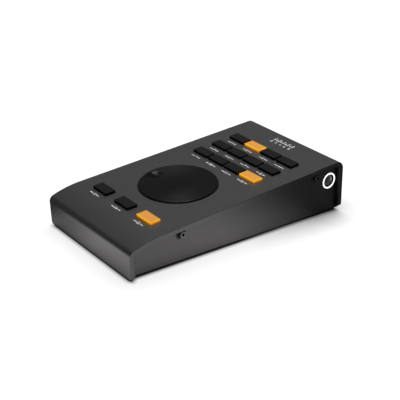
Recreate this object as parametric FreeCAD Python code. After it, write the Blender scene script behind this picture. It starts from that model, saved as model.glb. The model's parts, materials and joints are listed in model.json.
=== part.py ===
import FreeCAD, Part
import math
import os
from FreeCAD import Placement, Rotation, Vector

os.makedirs("parts", exist_ok=True)

# Frame: +X right, +Y to the rear, +Z up, in millimetres.
# The origin is on the table, under the middle of the object.
# The deck frame is tilted with the deck: x right, u along the deck from the front wall's
# outer face to the rear, w square to the deck, 0 on its outer surface and negative inside.

# Top cover
cover_width = 110.0
cover_length = 212.6
sheet = 3.9
deck_tilt = 5.0
front_height = 27.6
rear_height = 42.8
front_clearance = 1.2
front_bend_inner = 1.0
rear_bend_inner = 3.6
brow_radius = 86.0
brow_end = 27.8
wall_corner = 2.8
edge_round = 0.35

# Bottom tray
tray_recess = 3.4
tray_sheet = 1.5
tray_bend_outer = 2.6
tray_gap = 0.3
foot_height = 1.5
foot_radius = 6.0
foot_inset_x = 14.0
foot_inset_y = 16.0
lip_height = 8.0
lip_relief = 4.5

# Side screws and the blocks that hold them
screw_radius = 1.5
screw_clear_radius = 1.7
screw_head_radius = 2.75
screw_head_height = 3.0
screw_length = 8.0
hex_socket = 2.5
hex_socket_depth = 1.6
side_screw_front_u = 47.8
side_screw_rear_inset = 28.3
side_screw_depth = 7.3
block_length = 10.0
block_width = 10.0
block_below_screw = 3.8
thread_gap = 0.02

# Keys
key_pitch_x = 19.6
key_pitch_u = 19.66
key_columns = 4
key_rows = 3
grid_rear_inset = 38.8
front_row_u = 35.1
front_row_pitch = 29.4
front_row_keys = 3
key_width = 17.9
key_depth = 9.0
key_corner = 0.4
key_rise = 2.0
key_edge_chamfer = 0.25
key_side_gap = 0.35
key_wall = 1.2
key_roof = 1.4
key_travel = 1.2
flange_overhang = 0.7
flange_thickness = 0.8
flange_gap = 0.1
stem_size = 3.6
stem_grip = 3.8
stem_depth = 4.5
stem_bore_radius = 1.5
stem_bore_depth = 2.0
socket_wall = 0.8
press_gap = 0.02

# Switch housings, return domes and lamps
housing_width = 13.6
housing_depth = 7.4
housing_height = 5.8
housing_floor = 0.5
housing_slide_gap = 0.2
landing_gap = 0.2
lamp_width = 3.0
lamp_depth = 2.6
lamp_height = 1.2
lamp_offset = 4.6
lamp_gap = 0.2
dome_flange_radius = 1.9
dome_foot_radius = 1.35
dome_top_radius = 1.0
dome_wall = 0.35
dome_slack = 0.1

# Dial and encoder
dial_radius = 31.6
dial_rise = 1.2
dial_edge_round = 0.6
dial_gap = 0.4
dial_floor_gap = 0.4
pocket_depth = 2.7
dimple_x = -22.0
dimple_u = -6.15
dimple_radius = 7.5
dimple_depth = 1.3
dimple_lip_round = 0.8
hub_radius = 6.5
hub_roof = 1.4
hub_hole_gap = 1.5
grub_height = 2.4
encoder_width = 12.0
encoder_height = 6.5
encoder_corner = 0.5
bush_radius = 3.5
bush_length = 5.0
bush_clear = 0.4
nut_width = 10.0
nut_height = 2.0
shaft_radius = 3.0
shaft_flat = 0.5
shaft_run_gap = 0.05
shaft_top_gap = 0.2
shaft_foot_gap = 1.5

# Boards
board_thickness = 1.6
key_board_side_gap = 4.1
key_board_front_u = 27.0
key_board_rear_inset = 26.1
key_board_corner = 2.0
pillar_radius = 3.0
pillar_inset = 7.6
pillar_behind_screw = 10.2
board_screw_radius = 1.5
board_screw_clear = 0.2
board_screw_length = 6.0
board_screw_head_radius = 2.75
board_screw_head_height = 1.8
driver_slot = 0.8
connector_board_left = -24.0
connector_board_side_gap = 1.6
connector_board_depth = 36.0
connector_board_rear_gap = 1.2
connector_board_corner = 1.5
connector_pillar_inset = 4.0

# Jack on the right side
jack_rear_inset = 12.7
jack_w = -16.05
jack_bore_radius = 3.25
jack_bore_length = 25.0
jack_body_length = 28.0
jack_body_width = 16.0
jack_body_height = 13.0
jack_wall_gap = 0.3
jack_bush_radius = 4.9
jack_bush_grip = 6.0
jack_bush_setback = 1.0
jack_hole_radius = 5.3
ring_outer_radius = 7.05
ring_thickness = 0.4

# Square socket for the lead, at the rear
usb_x = 0.0
usb_width = 12.0
usb_height = 10.9
usb_length = 16.0
usb_shell_sheet = 0.4
usb_mouth_width = 8.6
usb_mouth_height = 7.9
usb_mouth_bevel = 1.8
usb_mouth_depth = 9.5
usb_setback = 0.8
usb_opening_gap = 0.25
tongue_width = 5.6
tongue_height = 3.2
tongue_setback = 1.0
contact_width = 1.0
contact_length = 6.5
contact_height = 0.25
contact_pitch_x = 2.5

# Flat cable, its headers and the chip
header_width = 20.0
header_depth = 5.0
header_height = 2.6
key_header_inset = 10.5
header_x = -6.0
cable_width = 16.0
cable_thickness = 0.3
cable_lead = 6.0
cable_seat = 1.0
chip_size = 10.0
chip_height = 1.4
chip_x = 8.0
chip_corner = 0.4

# How far a cutting tool reaches past the faces it cuts, and how close counts as equal
reach_past = 1.0
close = 0.01

# Places worked out from the sizes above
tilt = math.radians(deck_tilt)
front_bend_outer = sheet + front_bend_inner
rear_bend_outer = sheet + rear_bend_inner
bend_reach = brow_radius - front_bend_outer
front_bend_w = math.sqrt(bend_reach ** 2 - (brow_end - front_bend_outer) ** 2) - brow_radius
brow_start_angle = math.degrees(
    math.atan2(front_bend_w + brow_radius, front_bend_outer - brow_end))

front_most = (front_bend_outer * math.cos(tilt) - (front_bend_w + front_height) * math.sin(tilt)
              - front_bend_outer)
rear_most = (cover_length * math.cos(tilt)
             + (rear_height - front_height) * math.sin(tilt))
front_wall_y = -(front_most + rear_most) / 2.0
deck_origin = Vector(0.0,
                     front_wall_y - front_height * math.sin(tilt),
                     front_clearance + front_height * math.cos(tilt))
deck_place = Placement(deck_origin, Rotation(Vector(1, 0, 0), deck_tilt))
deck_normal = deck_place.Rotation.multVec(Vector(0, 0, 1))

deck_underside = -sheet
flange_top = deck_underside - flange_gap
flange_bottom = flange_top - flange_thickness
housing_top = flange_bottom - key_travel - landing_gap
key_board_top = housing_top - housing_height
key_board_bottom = key_board_top - board_thickness
dome_foot = key_board_top + housing_floor
stem_bottom = flange_bottom - stem_depth
stem_top = flange_bottom + stem_grip
stem_bore_top = stem_bottom + stem_bore_depth

tray_side = cover_width / 2.0 - tray_recess
tray_inside = tray_side - tray_sheet
tray_floor = foot_height + tray_sheet

side_screw_rear_u = cover_length - side_screw_rear_inset
jack_u = cover_length - jack_rear_inset
rear_row_u = cover_length - grid_rear_inset
grid_front_u = rear_row_u - (key_rows - 1) * key_pitch_u
dial_u = (front_row_u + grid_front_u) / 2.0
key_board_rear_u = cover_length - key_board_rear_inset
key_board_width = 2.0 * (tray_inside - key_board_side_gap)
key_header_u = key_board_rear_u - key_header_inset
pillar_x = tray_inside - pillar_inset
key_pillar_us = (side_screw_front_u + pillar_behind_screw,
                 (dial_u + grid_front_u) / 2.0,
                 rear_row_u - key_pitch_u / 2.0)
connector_board_right = tray_inside - connector_board_side_gap


def deck_point(x, u, w):
    """A point of the deck frame, in the object's frame."""
    return deck_place.multVec(Vector(x, u, w))


def on_deck(shape):
    """The shape, modelled in the deck frame, put in its place."""
    placed = shape.copy()
    placed.Placement = deck_place.multiply(placed.Placement)
    return placed


def rounded_rectangle(width, depth, corner, z):
    """A flat face with rounded corners, centred on the Z axis."""
    half_x = width / 2.0
    half_y = depth / 2.0
    edges = []
    corners = ((1, 1, 0), (-1, 1, 90), (-1, -1, 180), (1, -1, 270))
    ends = []
    for side_x, side_y, start in corners:
        centre = Vector(side_x * (half_x - corner), side_y * (half_y - corner), z)
        points = []
        for turn in (0, 45, 90):
            angle = math.radians(start + turn)
            points.append(centre + Vector(math.cos(angle), math.sin(angle), 0) * corner)
        edges.append(Part.Arc(*points).toShape())
        ends.append((points[0], points[2]))
    for index, (_, end) in enumerate(ends):
        edges.append(Part.LineSegment(end, ends[(index + 1) % len(ends)][0]).toShape())
    return Part.Face(Part.Wire(Part.__sortEdges__(edges)))


def block(width, depth, low, high, x=0.0, y=0.0, corner=0.0):
    """An upright block centred on x and y, with rounded upright corners if asked."""
    if corner > 0.0:
        solid = rounded_rectangle(width, depth, corner, low).extrude(Vector(0, 0, high - low))
        solid.translate(Vector(x, y, 0))
        return solid
    return Part.makeBox(width, depth, high - low,
                        Vector(x - width / 2.0, y - depth / 2.0, low))


def rod(radius, low, high, x=0.0, y=0.0):
    """An upright round rod."""
    return Part.makeCylinder(radius, high - low, Vector(x, y, low))


def cross_rod(radius, left, right, y, z):
    """A round rod along X."""
    return Part.makeCylinder(radius, right - left, Vector(left, y, z), Vector(1, 0, 0))


def hexagon(width_across, low, high, x=0.0, y=0.0):
    """An upright hexagonal bar, by its width across the flats."""
    reach = width_across / 2.0 / math.cos(math.radians(30))
    points = [Vector(x + reach * math.cos(math.radians(60 * step)),
                     y + reach * math.sin(math.radians(60 * step)), low)
              for step in range(6)]
    return Part.Face(Part.makePolygon(points + points[:1])).extrude(Vector(0, 0, high - low))


def arc_edge(u, w, radius, start, end, x):
    """An arc in the plane of the side view, between two angles in degrees."""
    points = []
    for angle in (start, (start + end) / 2.0, end):
        turn = math.radians(angle)
        points.append(Vector(x, u + radius * math.cos(turn), w + radius * math.sin(turn)))
    return Part.Arc(*points).toShape()


def line_edge(start, end):
    return Part.LineSegment(start, end).toShape()


def sheet_line(offset, x, front_drop, rear_drop):
    """The cover's side line at a depth under its outer surface, from front foot to rear foot."""
    front_radius = front_bend_outer - offset
    rear_centre_u = cover_length - rear_bend_outer
    rear_radius = rear_bend_outer - offset
    front_foot = Vector(x, offset, -front_drop)
    rear_foot = Vector(x, cover_length - offset, -rear_drop)
    return [
        line_edge(front_foot, Vector(x, offset, front_bend_w)),
        arc_edge(front_bend_outer, front_bend_w, front_radius, 180, brow_start_angle, x),
        arc_edge(brow_end, -brow_radius, brow_radius - offset, brow_start_angle, 90, x),
        line_edge(Vector(x, brow_end, -offset), Vector(x, rear_centre_u, -offset)),
        arc_edge(rear_centre_u, -rear_bend_outer, rear_radius, 90, 0, x),
        line_edge(Vector(x, cover_length - offset, -rear_bend_outer), rear_foot),
    ]


def wire_ends(edges):
    return edges[0].Vertexes[0].Point, edges[-1].Vertexes[-1].Point


def inner_envelope(offset, left, right, drop):
    """The space inside the cover at an offset, with a level underside that many mm down."""
    edges = sheet_line(offset, left, drop, drop)
    start, end = wire_ends(edges)
    face = Part.Face(Part.Wire(edges + [line_edge(end, start)]))
    return face.extrude(Vector(right - left, 0, 0))


def key_places():
    """Number, x and u of each key, from the rear row's left key to the front row's right."""
    places = []
    for row in range(key_rows):
        for column in range(key_columns):
            x = (column - (key_columns - 1) / 2.0) * key_pitch_x
            u = grid_front_u + (key_rows - 1 - row) * key_pitch_u
            places.append((x, u))
    for column in range(front_row_keys):
        places.append(((column - (front_row_keys - 1) / 2.0) * front_row_pitch, front_row_u))
    return [(number + 1, x, u) for number, (x, u) in enumerate(places)]


def side_screw_places():
    return [(side, u) for side in (-1, 1) for u in (side_screw_front_u, side_screw_rear_u)]


def key_pillar_places():
    return [(side * pillar_x, u) for side in (-1, 1) for u in key_pillar_us]


def top_cover():
    """The bent sheet, with its key openings, dial pocket and rear socket opening."""
    half = cover_width / 2.0
    outer = sheet_line(0.0, -half, front_height, rear_height)
    inner = sheet_line(sheet, -half, front_height, rear_height)
    outer_front, outer_rear = wire_ends(outer)
    inner_front, inner_rear = wire_ends(inner)
    loop = outer + [line_edge(outer_rear, inner_rear)] + inner[::-1]
    loop.append(line_edge(inner_front, outer_front))
    body = Part.Face(Part.Wire(Part.__sortEdges__(loop))).extrude(Vector(cover_width, 0, 0))
    body = body.makeFillet(wall_corner, [edge for edge in body.Edges if is_wall_corner(edge)])
    body = body.makeFillet(edge_round, [edge for edge in body.Edges if is_side_edge(edge)])
    cuts = []
    for _, x, u in key_places():
        cuts.append(block(key_width + 2 * key_side_gap, key_depth + 2 * key_side_gap,
                          deck_underside - reach_past, reach_past, x, u,
                          key_corner + key_side_gap))
    cuts.append(rod(dial_radius + dial_gap, -pocket_depth, reach_past, 0, dial_u))
    cuts.append(rod(hub_radius + hub_hole_gap, deck_underside - reach_past, reach_past,
                    0, dial_u))
    body = on_deck(body.cut(cuts))
    return body.cut(usb_opening())


def is_wall_corner(edge):
    """True for the short edges across the sheet at the feet of the front and rear walls."""
    low = min(vertex.Z for vertex in edge.Vertexes)
    at_side = all(abs(abs(vertex.X) - cover_width / 2.0) < close for vertex in edge.Vertexes)
    at_foot = min(abs(low + front_height), abs(low + rear_height)) < close
    return at_side and at_foot and abs(edge.Length - sheet) < close


def is_side_edge(edge):
    """True for the long edges of the two side faces, outer and inner."""
    at_side = all(abs(abs(vertex.X) - cover_width / 2.0) < close for vertex in edge.Vertexes)
    return at_side and abs(edge.Length - sheet) > close


def usb_opening():
    """The opening for the rear socket, through the leaning rear wall."""
    z = connector_board_top() + usb_height / 2.0
    depth = sheet * 4
    return Part.makeBox(usb_width + 2 * usb_opening_gap, depth, usb_height + 2 * usb_opening_gap,
                        Vector(usb_x - usb_width / 2.0 - usb_opening_gap,
                               rear_face_y(z) - depth / 2.0,
                               z - usb_height / 2.0 - usb_opening_gap))


def rear_face_y(z):
    """Where the rear wall's outer face is at a height."""
    foot = deck_point(0, cover_length, -rear_height)
    return foot.y - (z - foot.z) * math.tan(tilt)


def jack_axis():
    return deck_point(tray_side, jack_u, jack_w)


def connector_board_top():
    return jack_axis().z - jack_body_height / 2.0


def bottom_tray():
    """The tray: floor, two side walls that follow the cover, and a low lip front and rear."""
    drop = rear_height + front_height
    length = cover_length * 2
    outer = tray_section(tray_side, foot_height, tray_bend_outer, length)
    inner = tray_section(tray_inside, tray_floor, tray_bend_outer - tray_sheet, length)
    envelope = on_deck(inner_envelope(sheet + tray_gap, -cover_width, cover_width, drop))
    shell = outer.cut(inner).common(envelope)
    core = on_deck(inner_envelope(sheet + tray_gap + tray_sheet, -cover_width, cover_width, drop))
    lips = envelope.cut(core)
    lips = lips.common(Part.makeBox(2 * (tray_inside - lip_relief), length,
                                    tray_sheet + lip_height,
                                    Vector(lip_relief - tray_inside, -length / 2.0, foot_height)))
    shell = shell.fuse(lips).removeSplitter()
    holes = []
    for side, u in side_screw_places():
        point = deck_point(0, u, -side_screw_depth)
        holes.append(cross_rod(screw_clear_radius, min(0, side * cover_width),
                               max(0, side * cover_width), point.y, point.z))
    axis = jack_axis()
    holes.append(cross_rod(jack_hole_radius, 0, cover_width, axis.y, axis.z))
    return shell.cut(holes)


def tray_section(half_width, low, bend, length):
    """A tall block with rounded lower long edges."""
    tall = block(2 * half_width, length, low, low + 2 * rear_height)
    lower = [edge for edge in tall.Edges
             if all(abs(vertex.Z - low) < close for vertex in edge.Vertexes)
             and abs(edge.Vertexes[0].X - edge.Vertexes[1].X) < close]
    return tall.makeFillet(bend, lower)


def rubber_feet():
    feet = []
    y_reach = (rear_most - front_most) / 2.0 - foot_inset_y
    for side_x in (-1, 1):
        for side_y in (-1, 1):
            feet.append(rod(foot_radius, 0, foot_height,
                            side_x * (tray_side - foot_inset_x), side_y * y_reach))
    return feet


def cover_blocks():
    blocks = []
    for side, u in side_screw_places():
        low = -side_screw_depth - block_below_screw
        body = block(block_length, block_width, low, deck_underside,
                     side * (tray_inside - block_length / 2.0), u)
        hole = cross_rod(screw_radius + thread_gap, min(0, side * cover_width),
                         max(0, side * cover_width), u, -side_screw_depth)
        blocks.append(on_deck(body.cut(hole)))
    return blocks


def cap_screw(length, head_radius, head_height):
    """A socket cap screw with its head's seat at the origin, pointing down."""
    head = rod(head_radius, 0, head_height)
    rim = [edge for edge in head.Edges if edge.Vertexes[0].Z > head_height / 2.0
           and len(edge.Vertexes) == 1]
    head = head.makeFillet(head_height / 10.0, rim)
    body = head.fuse(rod(screw_radius, -length, 0))
    return body.cut(hexagon(hex_socket, head_height - hex_socket_depth,
                            head_height + reach_past))


def side_screws():
    screws = []
    for side, u in side_screw_places():
        place = Placement(Vector(side * tray_side, u, -side_screw_depth),
                          Rotation(Vector(0, 1, 0), 90 * side))
        screw = cap_screw(screw_length, screw_head_radius, screw_head_height)
        screw.Placement = place
        screws.append(on_deck(screw))
    return screws


def key_cap():
    """One cap: a thin-walled box with a retaining flange and a square socket for its stem."""
    outside = block(key_width, key_depth, flange_bottom, key_rise, corner=key_corner)
    top_edges = [edge for edge in outside.Edges
                 if all(abs(vertex.Z - key_rise) < close for vertex in edge.Vertexes)]
    outside = outside.makeChamfer(key_edge_chamfer, top_edges)
    flange = block(key_width + 2 * flange_overhang, key_depth + 2 * flange_overhang,
                   flange_bottom, flange_top, corner=key_corner)
    inside = block(key_width - 2 * key_wall, key_depth - 2 * key_wall,
                   flange_bottom - reach_past, key_rise - key_roof)
    socket_size = stem_size + 2 * socket_wall
    socket = block(socket_size, socket_size, flange_bottom, key_rise - key_roof)
    bore = block(stem_size + 2 * press_gap, stem_size + 2 * press_gap,
                 flange_bottom - reach_past, stem_top + press_gap)
    return outside.fuse(flange).cut(inside).fuse(socket).cut(bore).removeSplitter()


def key_stem():
    """The square stem that joins a cap to its switch, bored from below for the dome."""
    stem = block(stem_size, stem_size, stem_bottom, stem_top)
    return stem.cut(rod(stem_bore_radius, stem_bottom - reach_past, stem_bore_top))


def switch_housing():
    body = block(housing_width, housing_depth, key_board_top, housing_top)
    slide = block(stem_size + 2 * housing_slide_gap, stem_size + 2 * housing_slide_gap,
                  dome_foot, housing_top + reach_past)
    window = block(lamp_width + 2 * lamp_gap, lamp_depth + 2 * lamp_gap,
                   key_board_top - reach_past, housing_top + reach_past, lamp_offset)
    return body.cut([slide, window])


def key_lamp():
    return block(lamp_width, lamp_depth, key_board_top, key_board_top + lamp_height, lamp_offset)


def key_dome():
    """The silicone return dome, drawn at its pressed height, on the housing's floor."""
    height = stem_bore_top - key_travel - dome_slack - dome_foot
    foot = Vector(0, 0, dome_foot)
    outside = Part.makeCone(dome_foot_radius, dome_top_radius, height, foot)
    outside = outside.fuse(rod(dome_flange_radius, dome_foot, dome_foot + dome_wall))
    inside = Part.makeCone(dome_foot_radius - dome_wall, dome_top_radius - dome_wall,
                           height - dome_wall, foot)
    return outside.cut(inside)


def at_each_key(shape):
    """A copy of the shape at every key, in the deck's place."""
    copies = []
    for _, x, u in key_places():
        copy = shape.copy()
        copy.translate(Vector(x, u, 0))
        copies.append(on_deck(copy))
    return copies


def dial_disc():
    """The disc in its pocket, with a round edge, a dished dimple and a bore for the hub."""
    low = dial_floor_gap - pocket_depth
    disc = rod(dial_radius, low, dial_rise)
    rim = [edge for edge in disc.Edges if abs(edge.Vertexes[0].Z - dial_rise) < close
           and len(edge.Vertexes) == 1]
    disc = disc.makeFillet(dial_edge_round, rim)
    ball_radius = (dimple_radius ** 2 + dimple_depth ** 2) / (2 * dimple_depth)
    ball = Part.makeSphere(ball_radius, Vector(dimple_x, dimple_u,
                                               dial_rise - dimple_depth + ball_radius))
    disc = disc.cut(ball)
    lip = [edge for edge in disc.Edges
           if abs(edge.BoundBox.Center.x - dimple_x) < 0.5
           and abs(edge.BoundBox.Center.y - dimple_u) < 0.5
           and abs(edge.BoundBox.ZMin - dial_rise) < close]
    disc = disc.makeFillet(dimple_lip_round, lip)
    disc = disc.cut(rod(hub_radius + press_gap, low - reach_past, dial_rise - hub_roof))
    disc.translate(Vector(0, dial_u, 0))
    return on_deck(disc)


def hub_bottom():
    return key_board_bottom + bush_length + bush_clear


def shaft_top():
    return dial_rise - 2 * hub_roof - shaft_top_gap


def dial_hub():
    body = rod(hub_radius, hub_bottom(), dial_rise - hub_roof, 0, dial_u)
    bore = rod(shaft_radius + press_gap, hub_bottom() - reach_past, dial_rise - 2 * hub_roof,
               0, dial_u)
    grub = Part.makeCylinder(screw_radius + thread_gap, hub_radius + reach_past,
                             Vector(0, dial_u, grub_centre()), Vector(0, -1, 0))
    return on_deck(body.cut([bore, grub]))


def grub_centre():
    return hub_bottom() + grub_height


def grub_screw():
    """The headless screw that bears on the shaft's flat."""
    inner = shaft_radius - shaft_flat
    screw = Part.makeCylinder(screw_radius, hub_radius - inner,
                              Vector(0, dial_u - inner, grub_centre()), Vector(0, -1, 0))
    socket = hexagon(screw_radius, 0, hex_socket_depth + reach_past)
    socket.Placement = Placement(Vector(0, dial_u - hub_radius - reach_past, grub_centre()),
                                 Rotation(Vector(1, 0, 0), -90))
    return on_deck(screw.cut(socket))


def encoder_shaft():
    low = key_board_bottom - encoder_height + shaft_foot_gap
    shaft = rod(shaft_radius, low, shaft_top(), 0, dial_u)
    flat_low = hub_bottom()
    cut = block(shaft_radius * 2, shaft_radius, flat_low, shaft_top() + reach_past, 0,
                dial_u - shaft_radius * 1.5 + shaft_flat)
    return on_deck(shaft.cut(cut))


def encoder_body():
    low = key_board_bottom - encoder_height
    body = block(encoder_width, encoder_width, low, key_board_bottom, 0, dial_u,
                 encoder_corner)
    bore = rod(shaft_radius + dial_floor_gap, low + shaft_foot_gap - dial_floor_gap,
               key_board_bottom + reach_past, 0, dial_u)
    return on_deck(body.cut(bore))


def encoder_bush():
    body = rod(bush_radius, key_board_bottom, key_board_bottom + bush_length, 0, dial_u)
    bore = rod(shaft_radius + shaft_run_gap, key_board_bottom - reach_past,
               key_board_bottom + bush_length + reach_past, 0, dial_u)
    return on_deck(body.cut(bore))


def encoder_nut():
    body = hexagon(nut_width, key_board_top, key_board_top + nut_height, 0, dial_u)
    return on_deck(body.cut(rod(bush_radius + thread_gap, key_board_top - reach_past,
                                key_board_top + nut_height + reach_past, 0, dial_u)))


def key_board():
    depth = key_board_rear_u - key_board_front_u
    board = block(key_board_width, depth, key_board_bottom, key_board_top, 0,
                  (key_board_rear_u + key_board_front_u) / 2.0, key_board_corner)
    holes = [rod(board_screw_radius + board_screw_clear, key_board_bottom - reach_past,
                 key_board_top + reach_past, x, u) for x, u in key_pillar_places()]
    holes.append(rod(bush_radius + board_screw_clear, key_board_bottom - reach_past,
                     key_board_top + reach_past, 0, dial_u))
    return on_deck(board.cut(holes))


def key_pillars():
    """The threaded pillars under the deck that carry the key board."""
    pillars = []
    for x, u in key_pillar_places():
        pillar = rod(pillar_radius, key_board_top, deck_underside, x, u)
        hole = rod(board_screw_radius + thread_gap, key_board_top - reach_past,
                   key_board_top + board_screw_length, x, u)
        pillars.append(on_deck(pillar.cut(hole)))
    return pillars


def board_screw():
    """A slotted pan screw with its seat at the origin, pointing down."""
    head = rod(board_screw_head_radius, 0, board_screw_head_height)
    body = head.fuse(rod(board_screw_radius, -board_screw_length, 0))
    slot = block(2 * (board_screw_head_radius + reach_past), driver_slot,
                 board_screw_head_height / 2.0, board_screw_head_height + reach_past)
    return body.cut(slot)


def connector_board_rear():
    z = connector_board_top()
    return rear_face_y(z) - sheet / math.cos(tilt) - connector_board_rear_gap


def connector_pillar_places():
    rear = connector_board_rear()
    ys = (rear - connector_pillar_inset, rear - connector_board_depth + connector_pillar_inset)
    xs = (connector_board_left + connector_pillar_inset,
          connector_board_right - jack_body_length - connector_pillar_inset)
    return [(x, y) for x in xs for y in ys]


def connector_board():
    top = connector_board_top()
    width = connector_board_right - connector_board_left
    board = block(width, connector_board_depth, top - board_thickness, top,
                  connector_board_left + width / 2.0,
                  connector_board_rear() - connector_board_depth / 2.0,
                  connector_board_corner)
    holes = [rod(board_screw_radius + board_screw_clear, top - board_thickness - reach_past,
                 top + reach_past, x, y) for x, y in connector_pillar_places()]
    return board.cut(holes)


def tray_pillars():
    pillars = []
    high = connector_board_top() - board_thickness
    for x, y in connector_pillar_places():
        pillar = hexagon(2 * pillar_radius, tray_floor, high, x, y)
        hole = rod(board_screw_radius + thread_gap, high - board_screw_length,
                   high + reach_past, x, y)
        pillars.append(pillar.cut(hole))
    return pillars


def board_screws():
    """The screws of both boards: from below for the key board, from above for the other."""
    screws = []
    for x, u in key_pillar_places():
        screw = board_screw()
        screw.Placement = Placement(Vector(x, u, key_board_bottom),
                                    Rotation(Vector(1, 0, 0), 180))
        screws.append(on_deck(screw))
    for x, y in connector_pillar_places():
        screw = board_screw()
        screw.translate(Vector(x, y, connector_board_top()))
        screws.append(screw)
    return screws


def jack_body():
    axis = jack_axis()
    face = tray_inside - jack_wall_gap
    body = Part.makeBox(jack_body_length, jack_body_width, jack_body_height,
                        Vector(face - jack_body_length, axis.y - jack_body_width / 2.0,
                               axis.z - jack_body_height / 2.0))
    bore = cross_rod(jack_bore_radius, bush_face() - jack_bore_length, face + reach_past,
                     axis.y, axis.z)
    seat = cross_rod(jack_bush_radius + press_gap, face - jack_bush_grip, face + reach_past,
                     axis.y, axis.z)
    return body.cut([bore, seat])


def bush_face():
    return tray_side - jack_bush_setback


def jack_bush():
    axis = jack_axis()
    inner = tray_inside - jack_wall_gap - jack_bush_grip
    body = cross_rod(jack_bush_radius, inner, bush_face(), axis.y, axis.z)
    return body.cut(cross_rod(jack_bore_radius, inner - reach_past, bush_face() + reach_past,
                              axis.y, axis.z))


def jack_ring():
    axis = jack_axis()
    ring = cross_rod(ring_outer_radius, tray_side, tray_side + ring_thickness, axis.y, axis.z)
    return ring.cut(cross_rod(jack_hole_radius, tray_side - reach_past,
                              tray_side + ring_thickness + reach_past, axis.y, axis.z))


def usb_rear():
    return rear_face_y(connector_board_top() + usb_height / 2.0) - usb_setback


def usb_box(width, height, front, rear):
    """A block on the socket's axis between two places along Y."""
    z = connector_board_top() + usb_height / 2.0
    return Part.makeBox(width, rear - front, height,
                        Vector(usb_x - width / 2.0, front, z - height / 2.0))


def usb_shell():
    rear = usb_rear()
    front = rear - usb_length
    inner = usb_box(usb_width - 2 * usb_shell_sheet, usb_height - 2 * usb_shell_sheet,
                    front + usb_shell_sheet, rear + reach_past)
    return usb_box(usb_width, usb_height, front, rear).cut(inner)


def usb_mouth(front, rear):
    """The socket's mouth, a square with its two upper corners bevelled."""
    z = connector_board_top() + usb_height / 2.0
    half_x = usb_mouth_width / 2.0
    half_z = usb_mouth_height / 2.0
    outline = [(-half_x, -half_z), (half_x, -half_z), (half_x, half_z - usb_mouth_bevel),
               (half_x - usb_mouth_bevel, half_z), (usb_mouth_bevel - half_x, half_z),
               (-half_x, half_z - usb_mouth_bevel)]
    points = [Vector(usb_x + x, front, z + height) for x, height in outline]
    return Part.Face(Part.makePolygon(points + points[:1])).extrude(Vector(0, rear - front, 0))


def usb_insulator():
    rear = usb_rear()
    front = rear - usb_length + usb_shell_sheet
    body = usb_box(usb_width - 2 * usb_shell_sheet, usb_height - 2 * usb_shell_sheet, front, rear)
    body = body.cut(usb_mouth(rear - usb_mouth_depth, rear + reach_past))
    tongue = usb_box(tongue_width, tongue_height, rear - usb_mouth_depth, rear - tongue_setback)
    return body.fuse(tongue).removeSplitter()


def usb_contacts():
    rear = usb_rear()
    z = connector_board_top() + usb_height / 2.0
    strips = []
    for side_z in (-1, 1):
        for side_x in (-1, 1):
            low = z + side_z * tongue_height / 2.0 - (contact_height if side_z < 0 else 0.0)
            strips.append(Part.makeBox(contact_width, contact_length, contact_height,
                                       Vector(usb_x + side_x * contact_pitch_x / 2.0
                                              - contact_width / 2.0,
                                              rear - usb_mouth_depth, low)))
    return strips


def lower_header_place():
    """Y of the rear face of the lower header, under the end of the flat cable's bend."""
    upper = deck_point(header_x, key_header_u + header_depth / 2.0, key_board_bottom)
    return upper.y


def flat_cable_headers():
    upper = on_deck(block(header_width, header_depth, key_board_bottom - header_height,
                          key_board_bottom, header_x, key_header_u))
    top = connector_board_top()
    lower = block(header_width, header_depth, top, top + header_height, header_x,
                  lower_header_place() - header_depth / 2.0)
    return [upper, lower]


def flat_cable():
    """The cable leaves the upper header, turns down in one bend and enters the lower one."""
    start = deck_point(header_x, key_header_u + header_depth / 2.0,
                       key_board_bottom - header_height + cable_seat)
    end_z = connector_board_top() + header_height - cable_seat
    along = Vector(0, math.cos(tilt), math.sin(tilt))
    across = Vector(0, math.sin(tilt), -math.cos(tilt))
    bend_start = start + along * cable_lead
    radius = (bend_start.z - end_z) / (1 + math.cos(tilt))
    centre = bend_start + across * radius
    bend_end = centre + Vector(0, 0, -radius)
    end = Vector(start.x, lower_header_place(), bend_end.z)

    def side(shift):
        reach = radius + shift
        middle_angle = tilt / 2.0
        middle = centre + Vector(0, math.cos(middle_angle), math.sin(middle_angle)) * reach
        lift = across * -shift
        return (start + lift, centre - across * reach, middle,
                centre + Vector(0, 0, -reach), end + Vector(0, 0, -shift))

    outer = side(cable_thickness / 2.0)
    inner = side(-cable_thickness / 2.0)
    edges = [line_edge(outer[0], outer[1]), Part.Arc(*outer[1:4]).toShape(),
             line_edge(outer[3], outer[4]), line_edge(outer[4], inner[4]),
             line_edge(inner[4], inner[3]), Part.Arc(*inner[3:0:-1]).toShape(),
             line_edge(inner[1], inner[0]), line_edge(inner[0], outer[0])]
    strip = Part.Face(Part.Wire(edges)).extrude(Vector(cable_width, 0, 0))
    strip.translate(Vector(-cable_width / 2.0, 0, 0))
    return strip


def control_chip():
    top = connector_board_top()
    return block(chip_size, chip_size, top, top + chip_height, chip_x,
                 connector_board_rear() - usb_length - chip_size / 2.0, chip_corner)


def save(name, shape):
    """Write one node; a list becomes a group of separate solids."""
    solid = Part.makeCompound(shape) if isinstance(shape, list) else shape
    if not solid.isValid():
        raise RuntimeError(name + " is not valid")
    solid.exportStep(os.path.join("parts", name + ".step"))
    print(name, len(solid.Solids), "solids", round(solid.Volume, 1), "mm3")


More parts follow.
